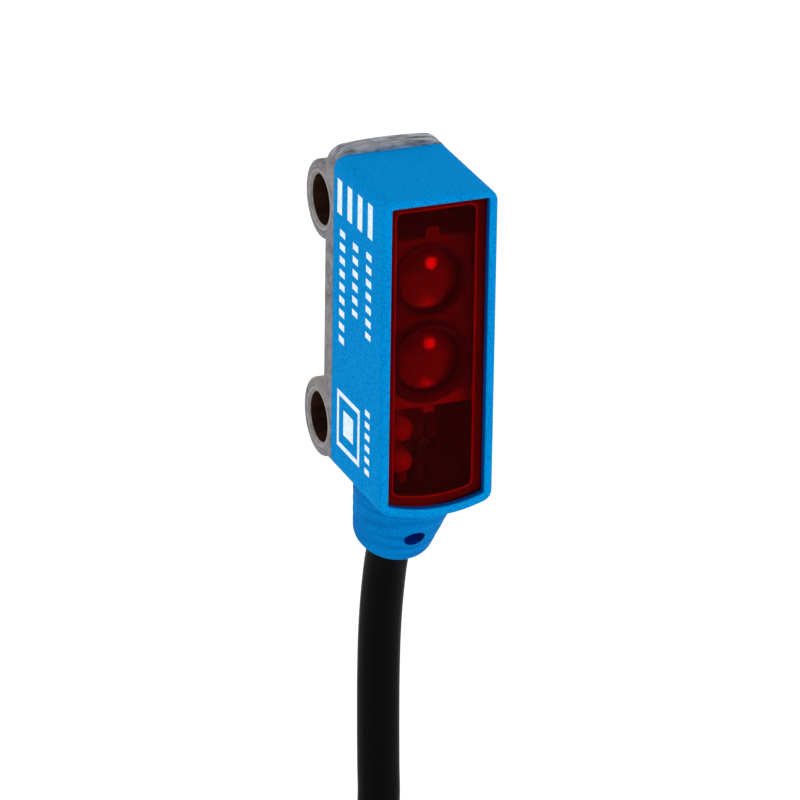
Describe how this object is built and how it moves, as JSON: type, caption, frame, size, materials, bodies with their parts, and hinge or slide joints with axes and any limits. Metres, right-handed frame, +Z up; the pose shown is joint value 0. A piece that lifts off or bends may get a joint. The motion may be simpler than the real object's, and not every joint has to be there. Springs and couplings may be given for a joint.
{
  "type": "photoelectric sensor",
  "caption": "Miniature photoelectric sensor with a red front window, a metal rear frame with mounting bores and a moulded cable outlet with a coiled lead.",
  "frame": {"origin": "middle of the upper mounting bore, on its axis and half-way across the housing", "axes": "+X along the mounting bores, +Y from the window to the rear frame, +Z up along the housing, away from the cable outlet"},
  "size_m": [0.0189, 0.043, 0.1352],
  "materials": {
    "blue_plastic": "fine-grained moulded plastic",
    "red_window": "polished red filter plastic",
    "red_seal": "satin",
    "cast_zinc": "matt nickel-plated die casting",
    "seal_rubber": "matt",
    "sleeve_steel": "turned",
    "black_plastic": "matt",
    "clear_lens": "polished",
    "board_green": "lacquered",
    "chip_black": "moulded epoxy",
    "screen_metal": "tinned sheet",
    "led_resin": "clear resin",
    "led_green": "clear resin",
    "led_yellow": "clear resin",
    "light_guide": "milky",
    "capacitor_tan": "ceramic",
    "solder": "tinned",
    "wire_brown": "satin",
    "wire_blue": "satin",
    "wire_black": "satin",
    "cable_black": "satin extruded",
    "tie_plastic": "moulded"
  },
  "bodies": {
    "root": {"housing_shell": "blue_plastic", "cable_neck": "blue_plastic", "front_window": "red_window", "window_seal": "red_seal", "rear_frame": "cast_zinc", "rear_seal": "seal_rubber", "upper_sleeve": "sleeve_steel", "lower_sleeve": "sleeve_steel", "optics_carrier": "black_plastic", "receiver_lens": "clear_lens", "sender_lens": "clear_lens", "receiver_ring": "black_plastic", "sender_ring": "black_plastic", "circuit_board": "board_green", "receiver_chip": "chip_black", "receiver_shield": "screen_metal", "sender_led": "led_resin", "green_indicator_led": "led_green", "yellow_indicator_led": "led_yellow", "upper_light_guide": "light_guide", "lower_light_guide": "light_guide", "control_chip": "chip_black", "output_transistor": "chip_black", "chip_capacitors": "capacitor_tan", "chip_resistors": "chip_black", "solder_joints": "solder", "brown_core": "wire_brown", "blue_core": "wire_blue", "black_core": "wire_black", "cable_clamp": "screen_metal", "jacket_end": "cable_black", "cable_jacket": "cable_black", "cable_coil": "cable_black", "cable_tail": "cable_black", "coil_tie": "tie_plastic", "brown_lead": "wire_brown", "blue_lead": "wire_blue", "black_lead": "wire_black", "lead_tips": "solder"}
  },
  "joints": []
}
